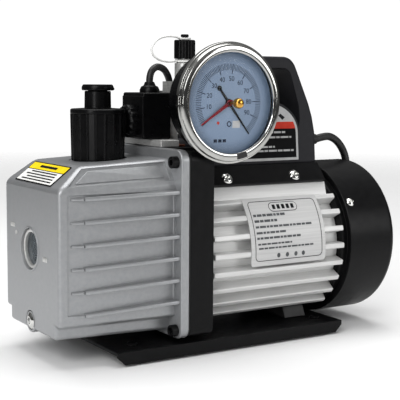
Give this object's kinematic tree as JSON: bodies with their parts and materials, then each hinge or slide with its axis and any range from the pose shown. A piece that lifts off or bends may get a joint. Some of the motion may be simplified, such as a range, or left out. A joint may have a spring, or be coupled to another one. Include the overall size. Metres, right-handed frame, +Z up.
{
  "type": "rotary vane vacuum pump",
  "caption": "Portable oil-sealed vane vacuum pump with a finned motor, ribbed oil case, dial gauge, solenoid inlet valve, carrying handle and mains lead.",
  "frame": {"origin": "on the floor plane under the middle of the machine's own box, mains lead left out", "axes": "+X runs along the shaft from the oil case to the motor fan, -Y is the gauge side and +Z is up"},
  "size_m": [0.3013, 0.2432, 0.2304],
  "materials": {
    "cast_paint": "satin silver-grey paint on a die-cast body",
    "aluminium": "bead-blasted aluminium",
    "steel": "ground steel",
    "laminations": "varnished windings on steel laminations",
    "chrome": "bright plated metal",
    "black_paint": "satin black powder coat",
    "black_plastic": "fine-grained black moulding",
    "gauge_black": "black enamel",
    "rubber": "matt black",
    "brass": "turned brass",
    "glass": "clear",
    "dial": "pale blue dial paint",
    "white_plastic": "white strap",
    "red_paint": "dark red enamel",
    "red_plastic": "red rocker",
    "label": "printed foil plate",
    "carbon": "graphite composite"
  },
  "bodies": {
    "pump_body": {"oil_case": "cast_paint", "motor_housing": "aluminium", "sight_glass_ring": "aluminium", "inlet_base": "aluminium", "first_stage_stator": "steel", "second_stage_stator": "steel", "mid_plate": "steel", "pump_end_cover": "steel", "front_bearing": "steel", "rear_bearing": "steel", "motor_stator": "laminations", "valve_body": "chrome", "gauge_bezel": "chrome", "pump_bracket": "black_paint", "rear_end_shield": "black_paint", "fan_cover": "black_paint", "base_plate": "black_paint", "motor_saddle": "black_paint", "handle_box": "black_paint", "start_capacitor": "black_plastic", "switch_bezel": "black_plastic", "valve_coil": "black_plastic", "coil_nut": "black_plastic", "power_plug": "black_plastic", "gauge_case": "gauge_black", "case_gasket": "rubber", "shaft_seal": "rubber", "rubber_foot_front_near": "rubber", "rubber_foot_front_far": "rubber", "rubber_foot_rear_near": "rubber", "rubber_foot_rear_far": "rubber", "valve_lead": "rubber", "lead_gland": "rubber", "power_cord": "rubber", "power_cord_coil": "rubber", "inlet_tee": "brass", "gauge_glass": "glass", "sight_glass": "glass", "gauge_dial": "dial", "cap_strap": "white_plastic", "notice_plate": "label", "nameplate": "label", "handle_label": "label"},
    "rotor": {"pump_rotor": "steel", "first_stage_vanes": "carbon", "second_stage_vanes": "carbon", "drive_shaft": "steel", "motor_rotor": "steel", "cooling_fan": "black_plastic"},
    "pressure_pointer": {"gauge_pointer": "gauge_black"},
    "set_hand": {"set_pointer": "red_paint", "set_knob": "brass"},
    "inlet_cap_body": {"inlet_cap": "black_plastic"},
    "filter": {"exhaust_filter": "black_plastic"},
    "fill_cap": {"exhaust_cap": "black_plastic"},
    "oil_drain_plug": {"drain_plug": "chrome"},
    "rocker": {"power_switch": "red_plastic"},
    "plunger": {"valve_plunger": "steel"}
  },
  "joints": [
    {"name": "shaft_spin", "type": "hinge", "parent": "pump_body", "child": "rotor", "pos_m": [0, 0.0088, 0.0694], "axis": [1, 0, 0], "continuous": true},
    {"name": "pointer_sweep", "type": "hinge", "parent": "pump_body", "child": "pressure_pointer", "pos_m": [-0.0198, -0.0552, 0.1807], "axis": [0, -1, 0], "range_deg": [0, 264]},
    {"name": "set_hand_turn", "type": "hinge", "parent": "pump_body", "child": "set_hand", "pos_m": [-0.0198, -0.0562, 0.1807], "axis": [0, -1, 0], "continuous": true},
    {"name": "inlet_cap_pull", "type": "slide", "parent": "pump_body", "child": "inlet_cap_body", "axis": [0, 0, 1], "range_m": [0, 0.016], "deforming": ["cap_strap"]},
    {"name": "filter_lift", "type": "slide", "parent": "pump_body", "child": "filter", "axis": [0, 0, 1], "range_m": [0, 0.03]},
    {"name": "fill_cap_lift", "type": "slide", "parent": "filter", "child": "fill_cap", "axis": [0, 0, 1], "range_m": [0, 0.015]},
    {"name": "drain_plug_pull", "type": "slide", "parent": "pump_body", "child": "oil_drain_plug", "axis": [-1, 0, 0], "range_m": [0, 0.016]},
    {"name": "switch_rock", "type": "hinge", "parent": "pump_body", "child": "rocker", "pos_m": [0.032, 0.0398, 0.146], "axis": [0, 0, 1], "range_deg": [0, 11]},
    {"name": "plunger_stroke", "type": "slide", "parent": "pump_body", "child": "plunger", "axis": [-1, 0, 0], "range_m": [0, 0.003], "stiffness_N_per_m": 400, "springref_m": -0.004}
  ]
}
